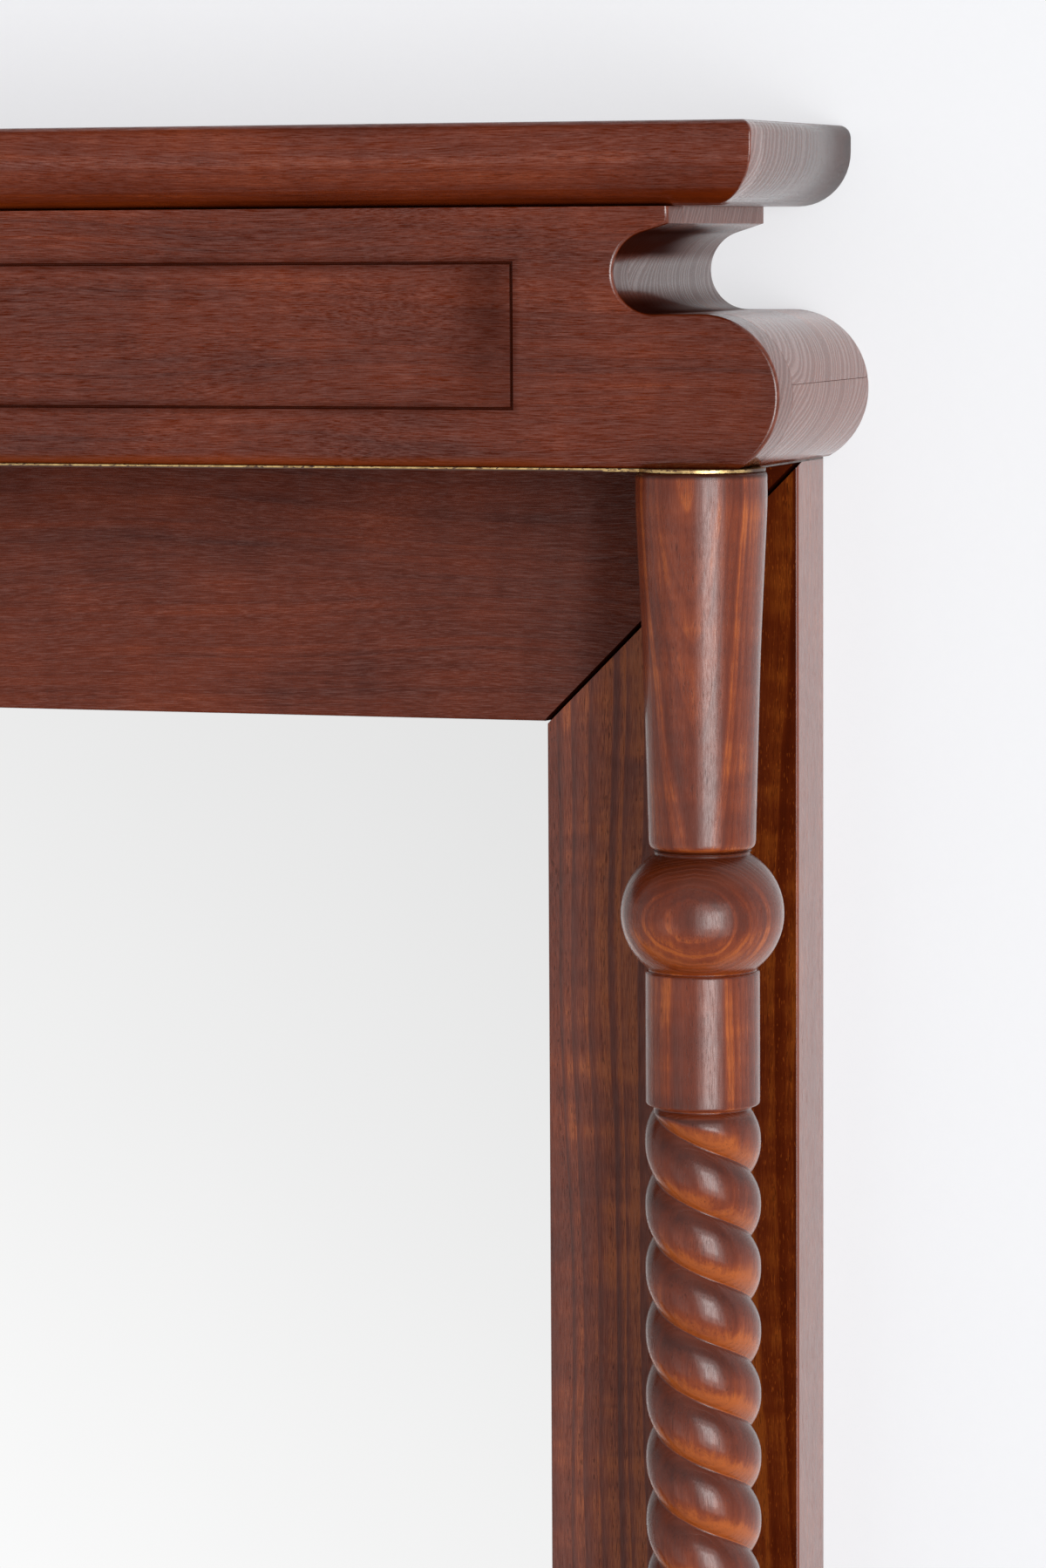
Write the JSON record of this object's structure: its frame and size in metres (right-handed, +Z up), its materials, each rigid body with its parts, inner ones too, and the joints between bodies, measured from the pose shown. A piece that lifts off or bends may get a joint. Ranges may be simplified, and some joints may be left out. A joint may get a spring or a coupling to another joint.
{
  "type": "overmantel mirror",
  "caption": "Wide wooden overmantel mirror: mitred flat frame, deep frieze with S-shaped ends, crown and base boards, and a free-standing rope-twist column at each side.",
  "frame": {"origin": "on the surface that the base board stands on, in the middle of the width and of the depth", "axes": "+X to the viewer's right, +Y to the wall behind the mirror, +Z up"},
  "size_m": [1.158, 0.15, 0.949],
  "materials": {
    "stained_wood": "red-brown mahogany stain under satin lacquer",
    "inner_wood": "red-brown stain, unlacquered",
    "gilding": "worn gold leaf",
    "mirror_glass": "silvered glass",
    "plywood": "raw plywood",
    "cork": "pressed cork",
    "steel": "zinc plated"
  },
  "bodies": {
    "root": {"base_board": "stained_wood", "gilt_foot_discs": "gilding", "frame_bottom_rail": "stained_wood", "frame_top_rail": "stained_wood", "frame_stile_left": "stained_wood", "frame_stile_right": "stained_wood", "mitre_tongues": "plywood", "mirror_glass": "mirror_glass", "glass_pads": "cork", "backing_board": "plywood", "backing_screws": "steel", "column_left": "stained_wood", "column_right": "stained_wood", "gilt_slip": "gilding", "frieze_front_board": "stained_wood", "frieze_end_lower_left": "stained_wood", "frieze_end_lower_right": "stained_wood", "frieze_end_upper_left": "stained_wood", "frieze_end_upper_right": "stained_wood", "frieze_bottom_rail": "inner_wood", "frieze_top_rail": "inner_wood", "frieze_back_rail": "inner_wood", "crown_board": "stained_wood", "base_screws": "steel", "frieze_screws": "steel", "crown_screws": "steel", "hanger_plate_left": "steel", "hanger_plate_right": "steel", "hanger_screws": "steel"}
  },
  "joints": []
}
